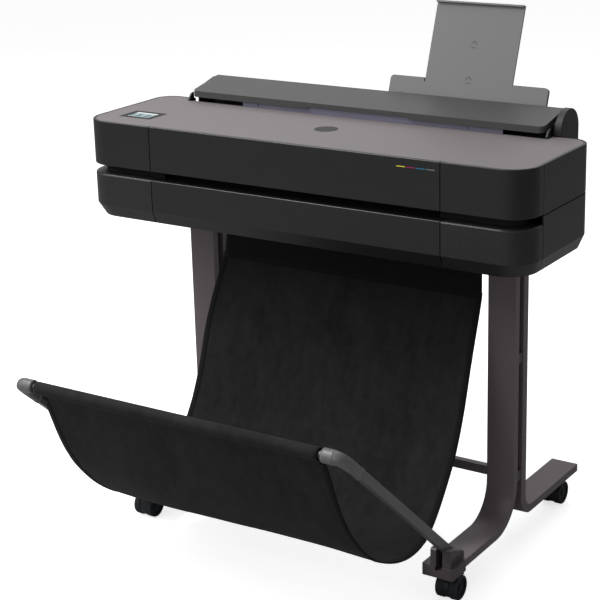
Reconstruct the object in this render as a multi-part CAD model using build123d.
from build123d import *
import os
from math import asin, atan2, cos, degrees, hypot, pi, radians, sin, sqrt, tan

os.makedirs("parts", exist_ok=True)

# ---------------------------------------------------------------------------
# Large format plotter on a wheeled stand with a fabric catch basket.
# Millimetres. +Z is up, the front faces -Y, and the origin lies on the floor
# under the middle of the whole object.
# ---------------------------------------------------------------------------

# Body shells
BODY_WIDTH = 1013.0
BODY_DEPTH = 286.0
BODY_FRONT_Y = -52.0
FRONT_CORNER_R = 57.0
BACK_CORNER_R = 40.0
BODY_WALL = 3.0
SEAM_GAP = 1.2
FRONT_SEAM_GAP = 2.0
STAND_HEIGHT = 650.0
LOWER_HEIGHT = 92.0
SLOT_HEIGHT = 18.0
UPPER_HEIGHT = 93.0
SLOT_DEPTH = 27.0
CHAMFER_HEIGHT = 26.0
CHAMFER_FRONT = 12.0
CHAMFER_SIDE = 10.0
FRONT_SEAM_X = 333.0
SIDE_SEAM_Y = 17.5
SIDE_GROOVE_DROP = 2.0
SIDE_GROOVE = 1.2
RIM_WIDTH = 5.0
RIM_THICK = 4.0
EDGE_R = 2.0
LOWER_EDGE_R = 2.5
CORNER_EDGE_R = 4.5

# Top panel and touch screen
PANEL_THICK = 3.0
PANEL_GAP = 1.0
RECESS_HALF = 425.5
RECESS_DEPTH = 32.0
SCREEN_X = -416.0
SCREEN_Y = 37.5
SCREEN_WIDTH = 80.0
SCREEN_DEPTH = 60.0
GLASS_WIDTH = 62.0
GLASS_DEPTH = 44.0

# Front window and its hinge
LIP_DEPTH = 5.0
WINDOW_KNUCKLE_R = 2.0
WINDOW_PIN_R = 1.2
WINDOW_PIN_LENGTH = 7.0
PIN_CLEARANCE = 0.08

# Ink door
DOOR_HINGE_BACK = 22.0
DOOR_HINGE_UP = 9.0
DOOR_PIN_R = 2.5
DOOR_EASE = 0.5
DOOR_SWING = 22.0

# Roll bay, roll cover and hinge cap
ROLL_R = 48.0
ROLL_GAP = 2.0
ROLL_Y = 232.0
ROLL_DROP = 47.0
TROUGH_WALL = 3.0
COVER_HALF = 415.0
COVER_FRONT_Y = 208.0
COVER_EDGE = 13.0
COVER_LIFT = 8.0
COVER_SKIN = 3.0
COVER_CORNER_R = 12.0
COVER_HINGE_Y = 304.0
COVER_HINGE_RISE = 31.5
COVER_KNUCKLE_R = 8.0
COVER_PIN_R = 3.0
GRIP_HALF = 118.0
GRIP_HEIGHT = 4.0
HOUSING_HALF = 424.0
HOUSING_BACK_Y = 340.0
HOUSING_DROP = 34.0
CAP_WIDTH = 14.0
CAP_R = 40.0
CAP_Y = 270.0
CAP_RISE = 8.0
GUIDE_LEFT = -286.0
GUIDE_RIGHT = 326.0
GUIDE_BREAKS = (-246.0, 251.0)

# Sheet tray
TRAY_TILT = 20.0
TRAY_Y = 323.0
TRAY_RISE = 40.0
TRAY_X = 187.5
TRAY_WIDTH = 357.0
TRAY_TOP = 31.0
TRAY_DEEP = 150.0
TRAY_THICK = 8.0
EXTENSION_WIDTH = 197.0
EXTENSION_THICK = 4.0
EXTENSION_TOP = 191.0
EXTENSION_GRIP = 41.0
EXTENSION_TRAVEL = 120.0
TRAY_CLEARANCE = 0.3
TRAY_NOTCH = 8.0
TRAY_LIP = 7.0

# Frame and paper drive
FRAME_X = 400.0
FRAME_SHEET = 2.0
PAPER_HALF = 305.0
ROLLER_Y = 85.0
ROLLER_R = 9.0
JOURNAL_R = 5.0
JOURNAL_CLEARANCE = 0.05
GEAR_MODULE = 1.0
GEAR_TEETH = 56
PINION_TEETH = 16
GEAR_WIDTH = 8.0
GEAR_BACKLASH = 0.3
PINCH_R = 6.0
PINCH_COUNT = 9
PLATEN_GAP = 3.0

# Carriage
CARRIAGE_WIDTH = 90.0
CARRIAGE_PARK_X = 345.0
BELT_PULLEY_R = 8.0
BELT_THICK = 1.2
BELT_WIDTH = 6.0
BELT_GAP = 0.3

# Spindle
SPINDLE_R = 9.0
HUB_R = 36.0
CORE_R = 25.0

# Stand
LEG_X = 361.0
LEG_WIDTH = 60.0
LEG_FRONT_Y = 148.0
LEG_FRONT_THICK = 17.0
LEG_SLOT = 19.0
LEG_REAR_THICK = 20.0
LEG_WALL = 2.0
LEG_PLATE = 6.0
FOOT_Z = 62.5
FOOT_THICK = 16.0
FOOT_FRONT_Y = -68.0
FOOT_BACK_Y = 461.0
FRONT_BEND_R = 75.0
REAR_BEND_R = 30.0
BAR_Z = 157.0
BAR_HEIGHT = 19.0
BAR_FRONT_Y = 158.0
BAR_DEPTH = 14.0

# Casters
CASTER_X = 368.0
CASTER_FRONT_Y = -54.0
CASTER_REAR_X = 357.0
CASTER_BACK_Y = 438.0
CASTER_TRAIL = 20.0
WHEEL_R = 25.0
WHEEL_WIDTH = 17.0
HOOD_WIDTH = 11.0
WHEEL_GAP = 0.6
AXLE_R = 3.0
STEM_R = 5.0

# Basket
BASKET_HALF = 320.0
BASKET_SHEET = 2.5
BAND_HEIGHT = 117.0
BAND_Y = 141.0
BAND_LEFT = -296.0
ROD_Y = -448.0
ROD_Z = 428.5
ROD_R = 8.0
SLEEVE_R = 12.0
ELBOW_R = 13.0
ARM_X = 364.0
ARM_THICK = 13.0
ARM_DEPTH = 18.0
PIVOT_Y = -72.0
PIVOT_Z = 93.5
PIVOT_R = 4.0
CLEVIS_INNER = 12.0
CLEVIS_OUTER = 17.0
CLEVIS_GAP = 0.5
NOSE_Y = -118.0
NOSE_SLOT_Z = 73.0
FABRIC_SPLIT = (-95.0, 106.0)
FABRIC_GAP = 2.0

# Heights that follow from the sizes above
Z_BOTTOM = STAND_HEIGHT
Z_CHAMFER = Z_BOTTOM + CHAMFER_HEIGHT
Z_SLOT = Z_BOTTOM + LOWER_HEIGHT
Z_UPPER = Z_SLOT + SLOT_HEIGHT
Z_TOP = Z_UPPER + UPPER_HEIGHT
Z_GROOVE = Z_UPPER - SIDE_GROOVE_DROP
Z_SILL = Z_BOTTOM + BODY_WALL
BODY_BACK_Y = BODY_FRONT_Y + BODY_DEPTH
HALF_WIDTH = BODY_WIDTH / 2
ROLL_Z = Z_TOP - ROLL_DROP
BAY_R = ROLL_R + ROLL_GAP
FAR = 3000.0

# Lines shared by several parts
WINDOW_HINGE = (BODY_FRONT_Y + LIP_DEPTH, Z_TOP - WINDOW_KNUCKLE_R)
LUG_HALF = FRONT_SEAM_X + WINDOW_PIN_LENGTH + 2.5
COVER_HINGE = (COVER_HINGE_Y, Z_TOP + COVER_HINGE_RISE)
DOOR_HINGE = (BODY_FRONT_Y + DOOR_HINGE_BACK, Z_BOTTOM + DOOR_HINGE_UP)
ROLLER_Z = Z_SLOT + 8.0


# ---------------------------------------------------------------- helpers
def block(x0, x1, y0, y1, z0, z1):
    """Box between two corners."""
    centre = Pos((x0 + x1) / 2, (y0 + y1) / 2, (z0 + z1) / 2)
    return centre * Box(abs(x1 - x0), abs(y1 - y0), abs(z1 - z0))


def rod_x(x0, x1, y, z, r):
    """Cylinder along X."""
    return Pos((x0 + x1) / 2, y, z) * Rot(0, 90, 0) * Cylinder(r, abs(x1 - x0))


def rod_z(x, y, z0, z1, r):
    """Cylinder along Z."""
    return Pos(x, y, (z0 + z1) / 2) * Cylinder(r, abs(z1 - z0))


def slice_x(face, x0, x1):
    """Side outline, drawn as (y, z), made as thick as the stretch x0 to x1."""
    return Pos(x0, 0, 0) * extrude(Plane.YZ * face, amount=x1 - x0)


def side_shape(points, x0, x1):
    """Straight-sided outline of (y, z) points, extruded along X."""
    return slice_x(make_face(Polyline(*points, close=True)), x0, x1)


def mirrored(solid):
    """The same shape on the other side of the middle plane."""
    return mirror(solid, about=Plane.YZ)


def write(name, shape):
    """Save one node."""
    shape.label = name
    export_step(shape, os.path.join("parts", name + ".step"))


def body_plan(inset, front=0.0, side=0.0):
    """Plan of the body, drawn in by inset, and further at its front and sides."""
    half = HALF_WIDTH - inset - side
    y0 = BODY_FRONT_Y + inset + front
    y1 = BODY_BACK_Y - inset - front / 2
    outline = make_face(Polyline((-half, y0), (half, y0), (half, y1), (-half, y1), close=True))
    outline = fillet(outline.vertices().group_by(Axis.Y)[0], FRONT_CORNER_R - min(inset, 30.0))
    return fillet(outline.vertices().group_by(Axis.Y)[-1], BACK_CORNER_R - min(inset, 30.0))


def slab(inset, z0, z1):
    """Body plan between two heights."""
    return extrude(Pos(0, 0, z0) * body_plan(inset), amount=z1 - z0)


def chamfer_block(inset, z_top):
    """Lower shell's outer shape, drawn in by inset: sloped at the foot, upright above."""
    low = Pos(0, 0, Z_BOTTOM + inset) * body_plan(inset, CHAMFER_FRONT, CHAMFER_SIDE)
    bend = Pos(0, 0, Z_CHAMFER) * body_plan(inset)
    return loft([low, bend], ruled=True) + slab(inset, Z_CHAMFER, z_top)


def tray_frame(x=0.0):
    """Plane of the sheet tray: X across, Y up the tray, Z towards the front."""
    lean = radians(TRAY_TILT)
    return Plane(origin=(x, TRAY_Y, Z_TOP + TRAY_RISE), x_dir=(1, 0, 0), z_dir=(0, -cos(lean), sin(lean)))


def tray_block(x0, x1, up0, up1, out0, out1):
    """Box in the tray's own plane."""
    centre = Pos((x0 + x1) / 2, (up0 + up1) / 2, (out0 + out1) / 2)
    return tray_frame() * centre * Box(x1 - x0, up1 - up0, out1 - out0)


def toothed_disc(teeth, width, phase):
    """Spur gear with straight-flanked teeth, its axis along X."""
    pitch = GEAR_MODULE * teeth / 2
    root, tip = pitch - 1.2 * GEAR_MODULE, pitch + 0.8 * GEAR_MODULE
    step = 2 * pi / teeth
    half_root = (pi * GEAR_MODULE / 4 + 0.25 - GEAR_BACKLASH / 2) / pitch
    half_tip = (pi * GEAR_MODULE / 4 - 0.35 - GEAR_BACKLASH / 2) / pitch
    points = []
    for k in range(teeth):
        middle = phase + k * step
        for r, offset in ((root, -half_root), (tip, -half_tip), (tip, half_tip), (root, half_root)):
            points.append((r * cos(middle + offset), r * sin(middle + offset)))
    return extrude(Plane.YZ * make_face(Polyline(*points, close=True)), amount=width)


# ---------------------------------------------------------------- body shells
def upper_shell():
    """Upper body shell with a rim round the top panel and a flange over the slot."""
    outer = slab(0, Z_UPPER, Z_TOP)
    outer = fillet(outer.faces().sort_by(Axis.Z)[-1].edges(), EDGE_R)
    outer = fillet(outer.faces().sort_by(Axis.Z)[0].edges(), EDGE_R)
    hollow = slab(BODY_WALL, Z_UPPER + BODY_WALL, Z_TOP - RIM_THICK)
    mouth = slab(SLOT_DEPTH, Z_UPPER - 1, Z_UPPER + BODY_WALL + 1)
    window = slab(RIM_WIDTH, Z_TOP - RIM_THICK - 1, Z_TOP + 1)
    return outer - hollow - mouth - window


def upper_corner(shell):
    """Right front corner cover of the upper shell, with the window's hinge lug."""
    x0 = FRONT_SEAM_X + FRONT_SEAM_GAP / 2
    piece = shell & block(x0, FAR, -FAR, SIDE_SEAM_Y - SEAM_GAP / 2, 0, FAR)
    y, z = WINDOW_HINGE
    front = BODY_FRONT_Y + RIM_WIDTH - 0.5
    lug = block(x0, LUG_HALF, front, y + WINDOW_KNUCKLE_R, Z_TOP - RIM_THICK, Z_TOP)
    bore = rod_x(x0 - 1, x0 + WINDOW_PIN_LENGTH, y, z, WINDOW_PIN_R + PIN_CLEARANCE)
    return piece + lug - bore


def side_panels():
    """Upper side panels behind the side seams, one each side."""
    outer = slab(0, Z_GROOVE, Z_TOP)
    outer = fillet(outer.faces().sort_by(Axis.Z)[-1].edges(), EDGE_R)
    outer = fillet(outer.faces().sort_by(Axis.Z)[0].edges(), EDGE_R)
    shell = outer - slab(BODY_WALL, Z_GROOVE - 1, Z_TOP - RIM_THICK) - slab(RIM_WIDTH, Z_TOP - 8, FAR)
    x0 = HOUSING_HALF + 1.0
    right = shell & block(x0, FAR, SIDE_SEAM_Y + SEAM_GAP / 2, FAR, 0, FAR)
    return [right, mirrored(right)]


def front_window():
    """Centre of the upper front, with a lip over the top that carries the hinge."""
    half = FRONT_SEAM_X - FRONT_SEAM_GAP / 2
    y, z = WINDOW_HINGE
    front = BODY_FRONT_Y
    wall = block(-half, half, front, front + BODY_WALL, Z_UPPER, Z_TOP)
    sill = block(-half, half, front, front + SLOT_DEPTH, Z_UPPER, Z_UPPER + BODY_WALL)
    lip = block(-half, half, front, y, Z_TOP - RIM_THICK, Z_TOP)
    shape = wall + sill + lip
    top = shape.edges().filter_by(Axis.X).sort_by(lambda e: e.center().Y - e.center().Z)[0]
    shape = fillet(top, EDGE_R)
    low = shape.edges().filter_by(Axis.X).sort_by(lambda e: e.center().Y + e.center().Z)[0]
    shape = fillet(low, EDGE_R)
    shape = shape + rod_x(-half, half, y, z, WINDOW_KNUCKLE_R)
    for side in (-1, 1):
        shape += rod_x(side * (half - 1), side * (half + WINDOW_PIN_LENGTH - 1), y, z, WINDOW_PIN_R)
    return shape


def lower_shell(edge_r):
    """Front part of the lower shell, with a shelf that makes the floor of the slot."""
    outer = chamfer_block(0, Z_SLOT)
    outer = fillet(outer.faces().sort_by(Axis.Z)[-1].edges(), edge_r)
    hollow = chamfer_block(BODY_WALL, Z_SLOT - BODY_WALL)
    mouth = slab(SLOT_DEPTH - 0.5, Z_SLOT - BODY_WALL - 1, Z_SLOT + 1)
    return outer - hollow - mouth


def floor_room():
    """Space of the base plate, which the covers in front of it leave clear."""
    plate = body_plan(BODY_WALL + SEAM_GAP, CHAMFER_FRONT, CHAMFER_SIDE)
    return extrude(Pos(0, 0, Z_BOTTOM - 1) * plate, amount=BODY_WALL + 1.3)


def lower_corner(shell):
    """Right front corner of the lower shell."""
    x0 = FRONT_SEAM_X + FRONT_SEAM_GAP / 2
    return (shell & block(x0, FAR, -FAR, SIDE_SEAM_Y - SEAM_GAP / 2, 0, FAR)) - floor_room()


def lower_front(shell):
    """Centre of the lower front."""
    half = FRONT_SEAM_X - FRONT_SEAM_GAP / 2
    return (shell & block(-half, half, -FAR, SIDE_SEAM_Y - SEAM_GAP / 2, 0, FAR)) - floor_room()


def ink_door(shell):
    """Right corner of the lower shell, made as a drop-down door with two hinge eyes."""
    y, z = DOOR_HINGE
    door = lower_corner(shell) & block(-FAR, FAR, -FAR, SIDE_SEAM_Y - SEAM_GAP / 2 - DOOR_EASE, 0, FAR)
    for x in (FRONT_SEAM_X + 14, FRONT_SEAM_X + 84):
        eye = rod_x(x, x + 10, y, z, DOOR_PIN_R + 2.5)
        arm = block(x, x + 10, BODY_FRONT_Y + 9.5, y, z - 2, z + 2.5)
        door = door + arm + eye - rod_x(x - 1, x + 11, y, z, DOOR_PIN_R + PIN_CLEARANCE)
    return door


def lower_case():
    """Base tray: floor plate, sides and back of the lower shell, with the door's hinge posts."""
    outer = chamfer_block(0, Z_GROOVE - SIDE_GROOVE)
    hollow = chamfer_block(BODY_WALL, Z_GROOVE + 5)
    back = (outer - hollow) & block(-FAR, FAR, SIDE_SEAM_Y + SEAM_GAP / 2, FAR, 0, FAR)
    notch = block(-HOUSING_HALF - 1, HOUSING_HALF + 1, BODY_BACK_Y - 12, FAR, Z_SLOT, FAR)
    plate = body_plan(BODY_WALL + 2 * SEAM_GAP, CHAMFER_FRONT, CHAMFER_SIDE)
    floor = extrude(Pos(0, 0, Z_BOTTOM) * plate, amount=BODY_WALL)
    y, z = DOOR_HINGE
    swing = y + DOOR_SWING
    floor -= block(FRONT_SEAM_X, FAR, -FAR, swing, 0, FAR)
    case = back - notch + floor
    for x in (FRONT_SEAM_X + 5, FRONT_SEAM_X + 75):
        case += block(x, x + 8, y - 3, swing + 2.5, z - 5, z + 3)
        case += block(x, x + 8, swing, swing + 2.5, Z_BOTTOM + 1, z)
        case += rod_x(x, x + 18, y, z, DOOR_PIN_R)
    inlet = block(INLET_X - 13.7, INLET_X + 13.7, BODY_BACK_Y - 12, BODY_BACK_Y + 1, INLET_Z - 9.7, INLET_Z + 9.7)
    rocker = block(ROCKER_X - 8, ROCKER_X + 8, BODY_BACK_Y - 12, BODY_BACK_Y + 1, INLET_Z - 11, INLET_Z + 11)
    return case - inlet - rocker


def top_panel():
    """Flat top panel, cut back for the roll bay, the window's lip and the screen."""
    z0 = Z_TOP - PANEL_THICK - 0.4
    panel = slab(RIM_WIDTH + PANEL_GAP, z0, Z_TOP - 0.4)
    recess = block(-RECESS_HALF, RECESS_HALF, BODY_BACK_Y - RECESS_DEPTH, FAR, 0, FAR)
    lip_back = WINDOW_HINGE[0] + WINDOW_KNUCKLE_R + PANEL_GAP
    lip = block(-LUG_HALF - PANEL_GAP, LUG_HALF + PANEL_GAP, -FAR, lip_back, 0, FAR)
    half_w, half_d = SCREEN_WIDTH / 2 + 0.2, SCREEN_DEPTH / 2 + 0.2
    pocket = block(SCREEN_X - half_w, SCREEN_X + half_w, SCREEN_Y - half_d, SCREEN_Y + half_d, 0, FAR)
    return panel - recess - lip - pocket


def screen_bezel():
    """Dark frame of the touch screen."""
    z0 = Z_TOP - PANEL_THICK - 0.4
    half_w, half_d = SCREEN_WIDTH / 2, SCREEN_DEPTH / 2
    frame = block(SCREEN_X - half_w, SCREEN_X + half_w, SCREEN_Y - half_d, SCREEN_Y + half_d, z0, Z_TOP)
    glass = screen_opening(0.1)
    return frame - glass


def screen_opening(gap):
    """Room that the glass takes in the bezel."""
    half_w, half_d = GLASS_WIDTH / 2 + gap, GLASS_DEPTH / 2 + gap
    z0 = Z_TOP - 1.2 - gap
    return block(SCREEN_X - half_w, SCREEN_X + half_w, SCREEN_Y - half_d, SCREEN_Y + half_d, z0, Z_TOP + 1)


def screen_glass():
    """Lit glass of the touch screen, set just below the bezel's face."""
    return screen_opening(0.0) & block(-FAR, FAR, -FAR, FAR, 0, Z_TOP - 0.2)


# ---------------------------------------------------------------- inside the body
INLET_X = -452.0
INLET_Z = Z_CHAMFER + 13.0
ROCKER_X = -415.0
PINION_Y = ROLLER_Y + GEAR_MODULE * (GEAR_TEETH + PINION_TEETH) / 2
GEAR_X = FRAME_X + 4.0
BELT_Y = 112.0
BELT_Z = Z_UPPER + 50.0
PULLEY_X = FRAME_X - 16.0


def chassis_frame():
    """Folded steel frame: a floor channel and two upright end plates with bearing holes."""
    z0 = Z_SILL + 3.0
    floor = block(-FRAME_X, FRAME_X, -5, 165, z0, z0 + FRAME_SHEET)
    frame = floor
    for side in (-1, 1):
        x0, x1 = sorted((side * FRAME_X, side * (FRAME_X - FRAME_SHEET)))
        plate = block(x0, x1, -5, 165, z0, Z_TOP - 12)
        plate -= rod_x(x0 - 1, x1 + 1, ROLLER_Y, ROLLER_Z, JOURNAL_R + JOURNAL_CLEARANCE)
        plate -= rod_x(x0 - 1, x1 + 1, ROLLER_Y, ROLLER_Z + ROLLER_R + PINCH_R + 0.6, 2.0 + PIN_CLEARANCE)
        plate -= rod_x(x0 - 1, x1 + 1, PINION_Y, ROLLER_Z, 2.5 + PIN_CLEARANCE)
        frame += plate
    return frame


def output_deck():
    """Sloping floor of the paper exit, between the platen and the front slot."""
    points = [(BODY_FRONT_Y + SLOT_DEPTH + 1, Z_SLOT - 3.5), (BODY_FRONT_Y + SLOT_DEPTH + 1, Z_SLOT - 1),
              (38, Z_SLOT + 5), (38, Z_SLOT + 2.5)]
    return side_shape(points, -PAPER_HALF - 9, PAPER_HALF + 9)


def slot_liners():
    """Upright walls at the back of the slot, round both front corners."""
    z0, z1 = Z_SLOT - 2.0, Z_UPPER + 2.0
    wall = slab(SLOT_DEPTH + 0.7, z0, z1) - slab(SLOT_DEPTH + 3.0, z0 - 1, z1 + 1)
    right = wall & block(PAPER_HALF + 13, FAR, -FAR, SIDE_SEAM_Y - 1, 0, FAR)
    return [right, mirrored(right)]


def platen():
    """Ribbed plate under the print zone."""
    z1 = ROLLER_Z
    plate = block(-PAPER_HALF - 7, PAPER_HALF + 7, 41, 72, z1 - 8, z1 - 3)
    for k in range(21):
        x = -PAPER_HALF + k * (2 * PAPER_HALF / 20)
        plate += block(x - 2, x + 2, 43, 70, z1 - 3, z1)
    return plate


def drive_roller():
    """Main paper drive roller with its large gear on the left end."""
    roller = rod_x(-PAPER_HALF - 5, PAPER_HALF + 5, ROLLER_Y, ROLLER_Z, ROLLER_R)
    shaft = rod_x(-GEAR_X - GEAR_WIDTH, FRAME_X + 4, ROLLER_Y, ROLLER_Z, JOURNAL_R)
    gear = toothed_disc(GEAR_TEETH, GEAR_WIDTH, 0.0)
    gear = Pos(-GEAR_X - GEAR_WIDTH, ROLLER_Y, ROLLER_Z) * gear
    return roller + shaft + gear


def motor_pinion():
    """Small gear and shaft that drive the roller gear."""
    phase = pi / PINION_TEETH
    pinion = Pos(-GEAR_X - GEAR_WIDTH, PINION_Y, ROLLER_Z) * toothed_disc(PINION_TEETH, GEAR_WIDTH, pi + phase)
    shaft = rod_x(-GEAR_X - GEAR_WIDTH, -FRAME_X + 12, PINION_Y, ROLLER_Z, 2.5)
    return pinion + shaft


def drive_motors():
    """Paper motor and carriage motor, two cans of one size."""
    feed = rod_x(-FRAME_X + 3, -FRAME_X + 45, PINION_Y, ROLLER_Z, 15)
    feed -= rod_x(-FRAME_X + 2, -FRAME_X + 14, PINION_Y, ROLLER_Z, 4)
    belt = Pos(-PULLEY_X, BELT_Y - 28.5, BELT_Z) * Rot(90, 0, 0) * Cylinder(13, 42)
    return [feed, belt]


def pinch_rollers():
    """Row of small rubber rollers on one thin shaft above the drive roller."""
    z = ROLLER_Z + ROLLER_R + PINCH_R + 0.6
    shaft = rod_x(-FRAME_X - 1, FRAME_X + 1, ROLLER_Y, z, 2.0)
    for k in range(PINCH_COUNT):
        x = -PAPER_HALF + 25 + k * (2 * PAPER_HALF - 50) / (PINCH_COUNT - 1)
        shaft += rod_x(x - 12, x + 12, ROLLER_Y, z, PINCH_R)
    return shaft


def carriage_rail():
    """Folded steel beam that the carriage runs along."""
    x1 = FRAME_X - FRAME_SHEET
    z0 = Z_UPPER + 8
    points = [(130, z0), (130, z0 + 58), (158, z0 + 58), (158, z0 + 56), (132, z0 + 56), (132, z0 + 2),
              (158, z0 + 2), (158, z0)]
    return side_shape(points, -x1, x1)


def carriage():
    """Print carriage with its nozzle foot, parked at the right end."""
    x0 = CARRIAGE_PARK_X - CARRIAGE_WIDTH / 2
    x1 = CARRIAGE_PARK_X + CARRIAGE_WIDTH / 2
    z0 = ROLLER_Z + 22
    body = block(x0, x1, 22, 104, z0, Z_UPPER + 76)
    body = fillet(body.edges().filter_by(Axis.Z), 6)
    foot = block(x0 + 10, x1 - 10, 44, 70, ROLLER_Z + PLATEN_GAP, z0)
    hook = block(x0 + 5, x1 - 5, 104, 129, Z_UPPER + 68.5, Z_UPPER + 76)
    clip = block(x0 + 30, x1 - 30, 103, BELT_Y - BELT_WIDTH / 2 - 0.3, BELT_Z - 14, BELT_Z - 4)
    return body + foot + hook + clip


def belt_loop(r_in, r_out):
    """Flat ring of belt section that runs round both pulleys, seen from the front."""
    pulleys = Pos(-PULLEY_X, 0) * Circle(r_out) + Pos(PULLEY_X, 0) * Circle(r_out)
    outer = pulleys + Rectangle(2 * PULLEY_X, 2 * r_out)
    inner = Pos(-PULLEY_X, 0) * Circle(r_in) + Pos(PULLEY_X, 0) * Circle(r_in) + Rectangle(2 * PULLEY_X, 2 * r_in)
    return outer - inner


def carriage_belt():
    """Endless belt that pulls the carriage."""
    r_in = BELT_PULLEY_R + BELT_GAP
    loop = extrude(Plane.XZ * belt_loop(r_in, r_in + BELT_THICK), amount=BELT_WIDTH)
    return Pos(0, BELT_Y + BELT_WIDTH / 2, BELT_Z) * loop


def belt_pulley(side):
    """Pulley at one end of the belt, its axis along Y and its hub towards the motor or the rail."""
    wheel = Cylinder(BELT_PULLEY_R, BELT_WIDTH)
    hub = Pos(0, 0, BELT_WIDTH / 2 + 2) * Cylinder(5, 4)
    return Pos(side * PULLEY_X, BELT_Y, BELT_Z) * Rot(-side * 90, 0, 0) * (wheel + hub)


def cutter():
    """Small blade carriage that cuts the sheet at the exit."""
    z0 = Z_SLOT + 8
    body = block(PAPER_HALF + 22, PAPER_HALF + 48, 8, 34, z0, z0 + 16)
    blade = Pos(PAPER_HALF + 35, 36, z0 + 8) * Rot(90, 0, 0) * Cylinder(7, 1.2)
    return body + blade + block(PAPER_HALF + 34, PAPER_HALF + 36, 30, 36.3, z0 + 6, z0 + 10)


def service_station():
    """Box that caps and wipes the print head at its parking place."""
    x0 = CARRIAGE_PARK_X - 30
    box = block(x0, x0 + 60, 42, 72, Z_SLOT - 55, ROLLER_Z - 1)
    well = block(x0 + 5, x0 + 55, 47, 67, ROLLER_Z - 12, ROLLER_Z)
    return box - well


def ink_cartridges():
    """Row of ink cartridges behind the ink door."""
    first = FRAME_X + 6
    width = 16.0
    row = []
    for k in range(4):
        x = first + k * (width + 1.5)
        box = block(x, x + width, -14, 76, Z_SILL + 15, Z_SILL + 75)
        grip = block(x + 3, x + width - 3, -18, -14, Z_SILL + 34, Z_SILL + 48)
        row.append(box + grip)
    return row


def main_board():
    """Circuit board with its larger parts."""
    x0 = -HALF_WIDTH + 30
    z0 = Z_SILL + 8
    board = block(x0, x0 + 66, 60, 220, z0, z0 + 1.6)
    for dx, y, size in ((6, 70, 18), (32, 100, 26), (10, 140, 14), (36, 170, 16)):
        board += block(x0 + dx, x0 + dx + size, y, y + size, z0 + 1.6, z0 + 5)
    return board


def power_supply():
    """Closed power supply box under the left end of the upper body."""
    x0 = -HALF_WIDTH + 28
    return block(x0, x0 + 58, 30, 165, Z_SLOT - 20, Z_SLOT + 22)


def mains_inlet():
    """Three-pin appliance inlet in the back of the base tray."""
    y1 = BODY_BACK_Y
    shell = block(INLET_X - 13.5, INLET_X + 13.5, y1 - 18, y1, INLET_Z - 9.5, INLET_Z + 9.5)
    flange = block(INLET_X - 17, INLET_X + 17, y1, y1 + 2, INLET_Z - 12, INLET_Z + 12)
    well = block(INLET_X - 11, INLET_X + 11, y1 - 15, y1 + 3, INLET_Z - 7, INLET_Z + 7)
    socket = shell + flange - well
    for dx, dz in ((-7, -1.5), (7, -1.5), (0, 2.5)):
        socket += block(INLET_X + dx - 1, INLET_X + dx + 1, y1 - 15.5, y1 - 3, INLET_Z + dz - 2, INLET_Z + dz + 2)
    return socket


def power_switch():
    """Rocker switch beside the inlet."""
    y0 = BODY_BACK_Y - 6
    points = [(y0, INLET_Z - 10), (y0 + 6, INLET_Z - 10), (y0 + 5, INLET_Z), (y0 + 8, INLET_Z + 10), (y0, INLET_Z + 10)]
    return side_shape(points, ROCKER_X - 7, ROCKER_X + 7)


# ---------------------------------------------------------------- roll bay
def roll_trough():
    """Curved trough under the roll; its back wall rises to the hinge of the cover."""
    lean = radians(TRAY_TILT)
    outer = BAY_R + TROUGH_WALL
    up = Z_TOP + 25.0

    def rear(r):
        y, z = ROLL_Y + r * cos(lean), ROLL_Z - r * sin(lean)
        return (y, z), (y + (up - z) * tan(lean), up)

    low_in, top_in = rear(BAY_R)
    low_out, top_out = rear(outer)
    z_lip = Z_TOP - 7.0
    front_out, front_in = ROLL_Y - outer, ROLL_Y - BAY_R
    edges = [
        Line((front_out, z_lip), (front_out, ROLL_Z)),
        CenterArc((ROLL_Y, ROLL_Z), outer, 180, 180 - TRAY_TILT),
        Line(low_out, top_out),
        Line(top_out, top_in),
        Line(top_in, low_in),
        CenterArc((ROLL_Y, ROLL_Z), BAY_R, -TRAY_TILT, TRAY_TILT - 180),
        Line((front_in, ROLL_Z), (front_in, z_lip)),
        Line((front_in, z_lip), (front_out, z_lip)),
    ]
    half = HOUSING_HALF - 4.0
    return slice_x(make_face(edges), -half, half)


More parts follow.
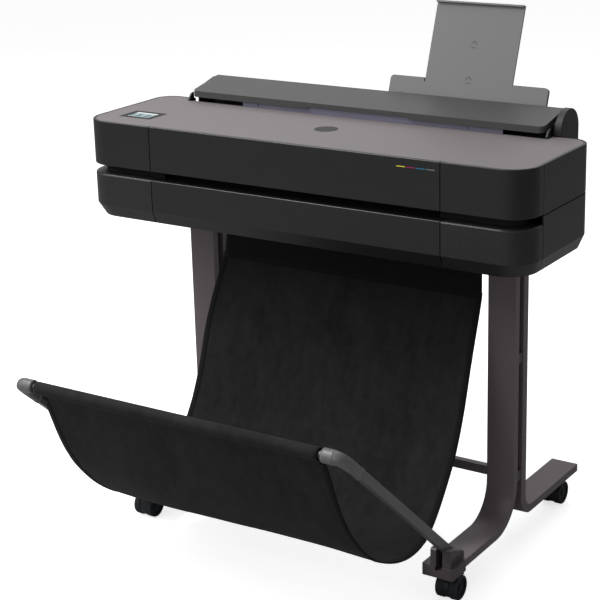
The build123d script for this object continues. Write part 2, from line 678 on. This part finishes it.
def rear_housing():
    """Outer casing behind the body: bottom, back, and end walls with bearings and hinge stubs."""
    y0, y1 = BODY_BACK_Y + 1.0, HOUSING_BACK_Y
    z0, z1 = Z_SLOT - HOUSING_DROP, Z_TOP + 13.0
    cut, t = 27.0, TROUGH_WALL
    lip_y, lip_z = TRAY_Y + 9.0, Z_TOP + 30.0
    k = t * tan(radians(22.5))
    skin = [(y0, Z_SLOT), (y0, z0), (y1 - cut, z0), (y1, z0 + cut), (y1, z1), (lip_y, lip_z),
            (lip_y - 0.9 * t, lip_z - 0.4 * t), (y1 - t, z1 - 0.3 * t), (y1 - t, z0 + cut + k), (y1 - cut - k, z0 + t),
            (y0 + t, z0 + t), (y0 + t, Z_SLOT)]
    housing = side_shape(skin, -HOUSING_HALF, HOUSING_HALF)
    hy, hz = COVER_HINGE
    front = ROLL_Y - BAY_R - TROUGH_WALL
    wall = [(COVER_FRONT_Y - 3, Z_TOP - 7), (front, Z_TOP - 7), (front, Z_SLOT + 3), (y0, Z_SLOT + 3), (y0, z0),
            (y1 - cut, z0), (y1, z0 + cut),
            (y1, z1), (lip_y, lip_z), (hy + 6, hz + 4), (hy - 6, hz + 4), (COVER_FRONT_Y + 5, Z_TOP + 13),
            (COVER_FRONT_Y - 3, Z_TOP + 3)]
    seat = [(ROLL_Y - SPINDLE_R - 0.6, FAR), (ROLL_Y - SPINDLE_R - 0.6, ROLL_Z), (ROLL_Y + SPINDLE_R + 0.6, ROLL_Z),
            (ROLL_Y + SPINDLE_R + 0.6, FAR)]
    for side in (-1, 1):
        x0, x1 = sorted((side * HOUSING_HALF, side * (HOUSING_HALF - 3.5)))
        end = side_shape(wall, x0, x1) - rod_x(x0 - 1, x1 + 1, ROLL_Y, ROLL_Z, SPINDLE_R + 0.6)
        end -= side_shape(seat, x0 - 1, x1 + 1)
        stub = rod_x(side * HOUSING_HALF, side * (COVER_HALF - 8), hy, hz, COVER_PIN_R)
        housing += end + stub
    return housing


def roll_cover():
    """Sloping lid over the roll, with side cheeks that turn on the hinge stubs."""
    fy, fz = COVER_FRONT_Y, Z_TOP + COVER_LIFT + COVER_EDGE
    hy, hz = COVER_HINGE
    slope = atan2(hz - fz, hy - fy) + asin(COVER_KNUCKLE_R / hypot(hy - fy, hz - fz))
    top = (hy - COVER_KNUCKLE_R * sin(slope), hz + COVER_KNUCKLE_R * cos(slope))
    start = 90 + degrees(slope)
    arc = CenterArc(COVER_HINGE, COVER_KNUCKLE_R, start, -start - 90)
    low = fz - COVER_EDGE
    outer = make_face([Line((fy, low), (fy, fz)), Line((fy, fz), top), arc,
                       Line((hy, hz - COVER_KNUCKLE_R), (fy, low))])
    lid = slice_x(outer, -COVER_HALF, COVER_HALF)
    corners = lid.edges().filter_by(Axis.Z).group_by(Axis.Y)[0]
    lid = fillet(corners, COVER_CORNER_R)
    s = COVER_SKIN
    hollow = [(fy + s, low - 1), (fy + s, fz - s + 0.6), (top[0] - 2 * s, top[1] - s - 0.6 * s * 0.5),
              (hy - COVER_KNUCKLE_R - 1, hz - COVER_KNUCKLE_R - 4), (hy - COVER_KNUCKLE_R - 1, low - 1)]
    inside = COVER_HALF - 6
    lid -= side_shape(hollow, -inside, inside)
    lid -= rod_x(-COVER_HALF - 1, COVER_HALF + 1, hy, hz, COVER_PIN_R + PIN_CLEARANCE)
    grip = make_face(Polyline((-GRIP_HALF - GRIP_HEIGHT, low - 1), (GRIP_HALF + GRIP_HEIGHT, low - 1),
                              (GRIP_HALF, low + GRIP_HEIGHT), (-GRIP_HALF, low + GRIP_HEIGHT), close=True))
    return lid - Pos(0, fy + s + 1, 0) * extrude(Plane.XZ * grip, amount=s + 3)


def hinge_cap():
    """Arched end cap beside the right end of the cover."""
    x0 = HOUSING_HALF + 4.0
    zc = Z_TOP + CAP_RISE
    arch = rod_x(x0, x0 + CAP_WIDTH, CAP_Y, zc, CAP_R)
    arch += block(x0, x0 + CAP_WIDTH, CAP_Y - CAP_R, CAP_Y + CAP_R, Z_TOP - 50, zc)
    arch = fillet(arch.faces().sort_by(Axis.X)[-1].edges().filter_by(GeomType.CIRCLE), 1.5)
    return arch - block(x0 - 1, x0 + CAP_WIDTH + 1, -FAR, BODY_BACK_Y + 1.5, 0, Z_TOP + 1)


def feed_guide():
    """Pale guide bar at the mouth of the roll bay, with a thin tab to each end wall."""
    y0, y1 = COVER_FRONT_Y + 6, COVER_FRONT_Y + 9
    bar = block(GUIDE_LEFT, GUIDE_RIGHT, y0, y1, Z_TOP - 5, Z_TOP + 13)
    for x in GUIDE_BREAKS:
        bar -= block(x - 0.8, x + 0.8, y0 - 1, y1 + 1, Z_TOP, Z_TOP + 14)
    tabs = block(-HOUSING_HALF + 3.5, HOUSING_HALF - 3.5, y0 + 0.5, y1 - 0.5, Z_TOP - 6, Z_TOP - 3)
    return bar + tabs


def spindle():
    """Spindle that carries the roll, resting in the end walls."""
    reach = HOUSING_HALF - 0.5
    shaft = rod_x(-reach, reach, ROLL_Y, ROLL_Z, SPINDLE_R)
    return shaft


def spindle_hubs():
    """Flanged hubs that grip the core of the roll, one at each end of the paper."""
    hubs = []
    for side in (-1, 1):
        flange = rod_x(side * (PAPER_HALF + 1), side * (PAPER_HALF + 9), ROLL_Y, ROLL_Z, HUB_R)
        plug = rod_x(side * (PAPER_HALF - 28), side * (PAPER_HALF + 9), ROLL_Y, ROLL_Z, CORE_R)
        hub = flange + plug
        for k in range(6):
            a = radians(60 * k)
            y, z = ROLL_Y + 30.5 * cos(a), ROLL_Z + 30.5 * sin(a)
            hub -= rod_x(side * PAPER_HALF, side * (PAPER_HALF + 10), y, z, 3.0)
        hubs.append(hub - rod_x(side * (PAPER_HALF - 29), side * (PAPER_HALF + 10), ROLL_Y, ROLL_Z, SPINDLE_R))
    return hubs


def tray_base():
    """Sheet tray: a thin case that the extension slides into."""
    x0, x1 = TRAY_X - TRAY_WIDTH / 2, TRAY_X + TRAY_WIDTH / 2
    case = tray_block(x0, x1, -TRAY_DEEP, TRAY_TOP, -TRAY_THICK, 0)
    corners = [e for e in case.edges() if abs(e.length - TRAY_THICK) < 1e-4 and e.center().Z > Z_TOP + 20]
    case = fillet(corners, 8)
    half = EXTENSION_WIDTH / 2 + 1.5
    skin = (TRAY_THICK - EXTENSION_THICK) / 2 - TRAY_CLEARANCE
    floor = -TRAY_DEEP + 4
    slot = tray_block(TRAY_X - half, TRAY_X + half, floor, TRAY_TOP + 9, -TRAY_THICK + skin, -skin)
    notch = tray_block(TRAY_X - half, TRAY_X + half, TRAY_TOP - TRAY_NOTCH, TRAY_TOP + 9, -skin - 1, 5)
    return case - slot - notch


def tray_extension():
    """Sliding upper part of the tray, with a folded lip along its top."""
    half = EXTENSION_WIDTH / 2
    back = -(TRAY_THICK + EXTENSION_THICK) / 2
    front = back + EXTENSION_THICK
    low = TRAY_TOP - EXTENSION_GRIP
    plate = tray_block(TRAY_X - half, TRAY_X + half, low, EXTENSION_TOP, back, front)
    lip = tray_block(TRAY_X - half, TRAY_X + half, EXTENSION_TOP - TRAY_LIP / 2, EXTENSION_TOP, back, front + TRAY_LIP)
    return plate + lip


# ---------------------------------------------------------------- stand
def leg_outline(inner, outer, bend_in, bend_out, toe, sign, inset):
    """Bent leg's side face; inner is the upright's face on the foot's side."""
    top = Z_BOTTOM - LEG_PLATE + (20 if inset else 0)
    z0, z1 = FOOT_Z + inset, FOOT_Z + FOOT_THICK - inset
    yi, yo = inner - sign * inset, outer + sign * inset
    ri, ro = bend_in + inset, bend_out - inset
    end = toe - sign * inset
    ci, co = yi + sign * ri, yo + sign * ro
    a_in = Line((yi, top), (yi, z1 + ri))
    middle_in = (ci - sign * ri * cos(pi / 4), z1 + ri - ri * sin(pi / 4))
    b_in = ThreePointArc((yi, z1 + ri), middle_in, (ci, z1))
    middle_out = (co - sign * ro * cos(pi / 4), z0 + ro - ro * sin(pi / 4))
    b_out = ThreePointArc((co, z0), middle_out, (yo, z0 + ro))
    return make_face([a_in, b_in, Line((ci, z1), (end, z1)), Line((end, z1), (end, z0)), Line((end, z0), (co, z0)),
                      b_out, Line((yo, z0 + ro), (yo, top)), Line((yo, top), (yi, top))])


def tube_leg(inner, outer, bend_in, bend_out, toe, sign):
    """Hollow bent leg on the right side."""
    x0, x1 = LEG_X - LEG_WIDTH / 2, LEG_X + LEG_WIDTH / 2
    solid = slice_x(leg_outline(inner, outer, bend_in, bend_out, toe, sign, 0), x0, x1)
    core = slice_x(leg_outline(inner, outer, bend_in, bend_out, toe, sign, LEG_WALL), x0 + LEG_WALL, x1 - LEG_WALL)
    return solid - core


def front_legs():
    """Front bent legs, whose feet run forward."""
    outer = LEG_FRONT_Y + LEG_FRONT_THICK
    leg = tube_leg(LEG_FRONT_Y, outer, FRONT_BEND_R, FRONT_BEND_R + 16, FOOT_FRONT_Y, -1)
    return [leg, mirrored(leg)]


def rear_legs():
    """Rear bent legs, whose feet run back."""
    front = LEG_FRONT_Y + LEG_FRONT_THICK + LEG_SLOT
    back = front + LEG_REAR_THICK
    leg = tube_leg(back, front, REAR_BEND_R, REAR_BEND_R + 15, FOOT_BACK_Y, 1)
    return [leg, mirrored(leg)]


def leg_brackets():
    """Spacers in the slot of each leg and the plates that bolt the legs to the body."""
    y0, y1 = LEG_FRONT_Y + LEG_FRONT_THICK, LEG_FRONT_Y + LEG_FRONT_THICK + LEG_SLOT
    back = y1 + LEG_REAR_THICK
    pieces = []
    reach = LEG_WIDTH / 2 - 1.5
    for z in (BAR_Z - 5, (BAR_Z + Z_BOTTOM) / 2):
        pieces.append(block(LEG_X - reach, LEG_X + reach, y0, y1, z, z + 21))
    half = LEG_WIDTH / 2 + 12
    plate = block(LEG_X - half, LEG_X + half, LEG_FRONT_Y - 2, back + 10, Z_BOTTOM - LEG_PLATE, Z_BOTTOM)
    for dx in (-half + 6, half - 6):
        for y in (LEG_FRONT_Y + 6, back):
            plate -= rod_z(LEG_X + dx, y, Z_BOTTOM - LEG_PLATE - 1, Z_BOTTOM + 1, 2.6)
    pieces.append(plate)
    return pieces + [mirrored(p) for p in pieces]


def stand_screws():
    """Screws that hold the leg plates to the body."""
    back = LEG_FRONT_Y + LEG_FRONT_THICK + LEG_SLOT + LEG_REAR_THICK
    half = LEG_WIDTH / 2 + 12
    screws = []
    for side in (-1, 1):
        for dx in (-half + 6, half - 6):
            for y in (LEG_FRONT_Y + 6, back):
                x = side * (LEG_X + dx)
                head = rod_z(x, y, Z_BOTTOM - LEG_PLATE - 3, Z_BOTTOM - LEG_PLATE, 4.5)
                screws.append(head + rod_z(x, y, Z_BOTTOM - LEG_PLATE - 3, Z_BOTTOM - 0.2, 2.5))
    return screws


def crossbar():
    """Hollow bar between the legs."""
    half = LEG_X - LEG_WIDTH / 2
    bar = block(-half, half, BAR_FRONT_Y, BAR_FRONT_Y + BAR_DEPTH, BAR_Z, BAR_Z + BAR_HEIGHT)
    y0, y1 = BAR_FRONT_Y + 1.5, BAR_FRONT_Y + BAR_DEPTH - 1.5
    return bar - block(-half - 1, half + 1, y0, y1, BAR_Z + 1.5, BAR_Z + BAR_HEIGHT - 1.5)


def clevis_ear(x0, x1, ribs):
    """Upright plate beside the arm, lower at its back, with ribs on the outer one."""
    base = FOOT_Z + FOOT_THICK + 2.0
    low, high = PIVOT_Z + 6.5, PIVOT_Z + 22.5
    points = [(NOSE_Y + 4, base), (NOSE_Y + 4, high - 3), (NOSE_Y + 7, high), (NOSE_Y + 14, high - 0.5),
              (PIVOT_Y + 9, low), (PIVOT_Y + 14, low - 6), (PIVOT_Y + 14, base)]
    ear = side_shape(points, x0, x1)
    for k in range(ribs):
        y = NOSE_Y + 10 + 9 * k
        ear -= block(x1 - 1.6, x1 + 1, y, y + 4, base + 4, base + 17)
    return ear


def foot_clevises():
    """End cap of each front foot: a slotted nose, two ears and the pivot pin between them."""
    x0, x1 = LEG_X - LEG_WIDTH / 2, LEG_X + LEG_WIDTH / 2
    z0, z1 = FOOT_Z - 4, FOOT_Z + FOOT_THICK + 3
    y1 = FOOT_FRONT_Y + 4
    cap = block(x0 - 3, x1 + 4, NOSE_Y, y1, z0, z1)
    cap = fillet(cap.edges().filter_by(Axis.Z).group_by(Axis.Y)[0], 4)
    gap = 0.3
    cap -= block(x0 - gap, x1 + gap, FOOT_FRONT_Y - gap, y1 + 1, FOOT_Z - gap, FOOT_Z + FOOT_THICK + gap)
    cap -= block(CASTER_X - 15, CASTER_X + 15, CASTER_FRONT_Y - 15, y1 + 1, z0 - 1, FOOT_Z)
    reach = ARM_THICK / 2 + CLEVIS_GAP
    cap -= block(ARM_X - reach, ARM_X + reach, NOSE_Y - 1, PIVOT_Y - 14, NOSE_SLOT_Z, z1 + 1)
    cap += clevis_ear(ARM_X - reach - CLEVIS_INNER, ARM_X - reach, 0)
    cap += clevis_ear(ARM_X + reach, ARM_X + reach + CLEVIS_OUTER, 5)
    cap += rod_x(ARM_X - reach - 1, ARM_X + reach + 1, PIVOT_Y, PIVOT_Z, PIVOT_R)
    return [cap, mirrored(cap)]


# ---------------------------------------------------------------- casters
def caster_places():
    """Name, position and trail direction of each caster."""
    return [("front_left", -CASTER_X, CASTER_FRONT_Y, -1), ("front_right", CASTER_X, CASTER_FRONT_Y, -1),
            ("rear_left", -CASTER_REAR_X, CASTER_BACK_Y, -1), ("rear_right", CASTER_REAR_X, CASTER_BACK_Y, -1)]


def caster_sockets():
    """Flanged bushes under the feet that take the caster stems."""
    bushes = []
    for _, x, y, _ in caster_places():
        bush = rod_z(x, y, FOOT_Z - 3, FOOT_Z, 13)
        bushes.append(bush - rod_z(x, y, FOOT_Z - 4, FOOT_Z + 1, STEM_R + PIN_CLEARANCE))
    return bushes


def caster_hood(x, y, trail):
    """Swivelling hood with its stem and axle."""
    wy = y + trail * CASTER_TRAIL
    r = WHEEL_R + 3.0
    hood = rod_x(x - HOOD_WIDTH / 2, x + HOOD_WIDTH / 2, wy, WHEEL_R, WHEEL_R - 1.5)
    neck = block(x - HOOD_WIDTH / 2, x + HOOD_WIDTH / 2, min(wy, y), max(wy, y) + 8, 32, FOOT_Z - 8)
    crown = rod_x(x - WHEEL_WIDTH - HOOD_WIDTH / 2, x + WHEEL_WIDTH + HOOD_WIDTH / 2, wy, WHEEL_R, r + 1.5)
    crown -= rod_x(x - FAR, x + FAR, wy, WHEEL_R, WHEEL_R + 1.2)
    crown &= block(-FAR, FAR, wy - 12, wy + 12, WHEEL_R + 19, FAR)
    stem = rod_z(x, y, 40, FOOT_Z - 0.3, STEM_R) + rod_z(x, y, 40, FOOT_Z - 3.6, STEM_R + 4)
    reach = HOOD_WIDTH / 2 + WHEEL_WIDTH - 2.5
    axle = rod_x(x - reach, x + reach, wy, WHEEL_R, AXLE_R)
    wheels = rod_x(x - FAR, x - HOOD_WIDTH / 2, wy, WHEEL_R, WHEEL_R + 1.0)
    wheels += rod_x(x + HOOD_WIDTH / 2, x + FAR, wy, WHEEL_R, WHEEL_R + 1.0)
    return (hood + neck + crown + stem) - wheels + axle


def caster_wheels(x, y, trail):
    """Pair of wheels on one axle."""
    wy = y + trail * CASTER_TRAIL
    pair = []
    for s in (-1, 1):
        a = x + s * (HOOD_WIDTH / 2 + WHEEL_GAP)
        b = a + s * (WHEEL_WIDTH - WHEEL_GAP)
        wheel = rod_x(a, b, wy, WHEEL_R, WHEEL_R)
        wheel = fillet(wheel.edges().filter_by(GeomType.CIRCLE), 2.5)
        wheel -= rod_x(b - s * 3, b + s, wy, WHEEL_R, WHEEL_R - 7)
        wheel += rod_x(b - s * 4, b - s * 0.5, wy, WHEEL_R, 7)
        pair.append(wheel - rod_x(a - s, b - s * 2.0, wy, WHEEL_R, AXLE_R + PIN_CLEARANCE))
    return pair


# ---------------------------------------------------------------- basket
def sag_profile():
    """Side curve of the basket fabric, from the band down, under and up to the rod."""
    top = Z_BOTTOM - BAND_HEIGHT
    drop = top - 533.0
    back = [(142, 533 + drop), (103, 422 + 0.6 * drop), (64, 311 + 0.2 * drop), (31, 238), (-16, 166), (-62, 122),
            FABRIC_SPLIT]
    front = [FABRIC_SPLIT, (-140, 102), (-209, 120), (-262, 146), (-306, 182), (-348, 229), (-375, 271), (-398, 318),
             (-425, 388), (-439, 419)]
    return back, front


def sheet_solid(points, t, half):
    """Curved sheet of even thickness through the given (y, z) points."""
    outer, inner = [], []
    for k, (y, z) in enumerate(points):
        y0, z0 = points[max(k - 1, 0)]
        y1, z1 = points[min(k + 1, len(points) - 1)]
        length = hypot(y1 - y0, z1 - z0)
        ny, nz = (z1 - z0) / length, -(y1 - y0) / length
        outer.append((y, z))
        inner.append((y - t * ny, z - t * nz))
    face = make_face([Spline(*outer), Line(outer[-1], inner[-1]), Spline(*reversed(inner)), Line(inner[0], outer[0])])
    return slice_x(face, -half, half)


def basket_back():
    """Back half of the basket, from the band to under the pivot."""
    back, _ = sag_profile()
    return sheet_solid(back, BASKET_SHEET, BASKET_HALF)


def basket_front():
    """Front half of the basket, up to the sleeve that holds the rod."""
    _, front = sag_profile()
    front = [(front[0][0] - FABRIC_GAP, front[0][1] - FABRIC_GAP / 4)] + front[1:]
    sheet = sheet_solid(front, BASKET_SHEET, BASKET_HALF)
    sleeve = rod_x(-BASKET_HALF - 6, BASKET_HALF + 6, ROD_Y, ROD_Z, SLEEVE_R)
    return sheet + sleeve - rod_x(-BASKET_HALF - 7, BASKET_HALF + 7, ROD_Y, ROD_Z, ROD_R + 0.3)


def basket_band():
    """Stiff flat band that hangs the basket under the body."""
    z0 = Z_BOTTOM - BAND_HEIGHT + 1
    return block(BAND_LEFT, BASKET_HALF, BAND_Y, BAND_Y + 2.5, z0, Z_BOTTOM)


def basket_rod():
    """Tube along the basket's front edge."""
    return rod_x(-ARM_X + 6, ARM_X - 6, ROD_Y, ROD_Z, ROD_R)


def arm_line():
    """Start and direction of the basket arm in the side view, from pivot to rod."""
    length = hypot(ROD_Y - PIVOT_Y, ROD_Z - PIVOT_Z)
    return length, degrees(atan2(ROD_Z - PIVOT_Z, PIVOT_Y - ROD_Y))


def along_arm(x0, x1, near, far, depth):
    """Bar in the arm's direction, between two distances from the pivot."""
    length, angle = arm_line()
    bar = Pos(0, -(near + far) / 2, 0) * Box(x1 - x0, far - near, depth)
    return Pos((x0 + x1) / 2, PIVOT_Y, PIVOT_Z) * Rot(-angle, 0, 0) * bar


def basket_elbows():
    """Elbows that join the rod to the arms."""
    length, _ = arm_line()
    x0 = BASKET_HALF + 8
    barrel = rod_x(x0, ARM_X + 9, ROD_Y, ROD_Z, ELBOW_R)
    barrel = fillet(barrel.edges().filter_by(GeomType.CIRCLE), 3)
    socket = along_arm(ARM_X - 9, ARM_X + 9, length - 62, length, 24)
    socket = fillet(socket.edges().filter_by(Axis.X), 4)
    elbow = barrel + socket - rod_x(x0 - 1, ARM_X - 5.5, ROD_Y, ROD_Z, ROD_R)
    elbow -= along_arm(ARM_X - ARM_THICK / 2, ARM_X + ARM_THICK / 2, length - 63, length - 20, ARM_DEPTH)
    return [elbow, mirrored(elbow)]


def basket_arms():
    """Flat arms from the foot clevises to the elbows."""
    length, _ = arm_line()
    arm = along_arm(ARM_X - ARM_THICK / 2, ARM_X + ARM_THICK / 2, 0, length - 20, ARM_DEPTH)
    arm += rod_x(ARM_X - ARM_THICK / 2, ARM_X + ARM_THICK / 2, PIVOT_Y, PIVOT_Z, ARM_DEPTH / 2)
    arm -= rod_x(ARM_X - ARM_THICK, ARM_X + ARM_THICK, PIVOT_Y, PIVOT_Z, PIVOT_R + PIN_CLEARANCE)
    return [arm, mirrored(arm)]


# ---------------------------------------------------------------- all nodes
def group(solids):
    """Separate solids kept in one node."""
    return Compound(children=list(solids))


def main():
    upper = upper_shell()
    lower = lower_shell(LOWER_EDGE_R)
    lower_round = lower_shell(CORNER_EDGE_R)
    corner = upper_corner(upper)
    write("upper_corner_right", corner)
    write("upper_corner_left", mirrored(corner))
    write("side_panels", group(side_panels()))
    write("front_window", front_window())
    write("lower_front_cover", lower_front(lower))
    write("lower_corner_left", mirrored(lower_corner(lower_round)))
    write("ink_door", ink_door(lower_round))
    write("lower_case", lower_case())
    write("top_panel", top_panel())
    write("screen_bezel", screen_bezel())
    write("screen_glass", screen_glass())
    write("chassis_frame", chassis_frame())
    write("output_deck", group([output_deck()] + slot_liners()))
    write("platen", platen())
    write("drive_roller", drive_roller())
    write("motor_pinion", motor_pinion())
    write("drive_motors", group(drive_motors()))
    write("pinch_rollers", pinch_rollers())
    write("carriage_rail", carriage_rail())
    write("carriage", carriage())
    write("carriage_belt", carriage_belt())
    write("drive_pulley", belt_pulley(-1))
    write("idler_pulley", belt_pulley(1))
    write("cutter", cutter())
    write("service_station", service_station())
    write("ink_cartridges", group(ink_cartridges()))
    write("main_board", main_board())
    write("power_supply", power_supply())
    write("mains_inlet", mains_inlet())
    write("power_switch", power_switch())
    write("roll_trough", roll_trough())
    write("rear_housing", rear_housing())
    write("roll_cover", roll_cover())
    write("hinge_cap", hinge_cap())
    write("feed_guide", feed_guide())
    write("spindle", spindle())
    write("spindle_hubs", group(spindle_hubs()))
    write("tray_base", tray_base())
    write("tray_extension", tray_extension())
    write("front_legs", group(front_legs()))
    write("rear_legs", group(rear_legs()))
    write("leg_brackets", group(leg_brackets()))
    write("stand_screws", group(stand_screws()))
    write("crossbar", crossbar())
    write("foot_clevises", group(foot_clevises()))
    write("caster_sockets", group(caster_sockets()))
    for name, x, y, trail in caster_places():
        write("caster_hood_" + name, caster_hood(x, y, trail))
        write("caster_wheels_" + name, group(caster_wheels(x, y, trail)))
    write("basket_band", basket_band())
    write("basket_back", basket_back())
    write("basket_front", basket_front())
    write("basket_rod", basket_rod())
    write("basket_elbows", group(basket_elbows()))
    write("basket_arms", group(basket_arms()))


main()
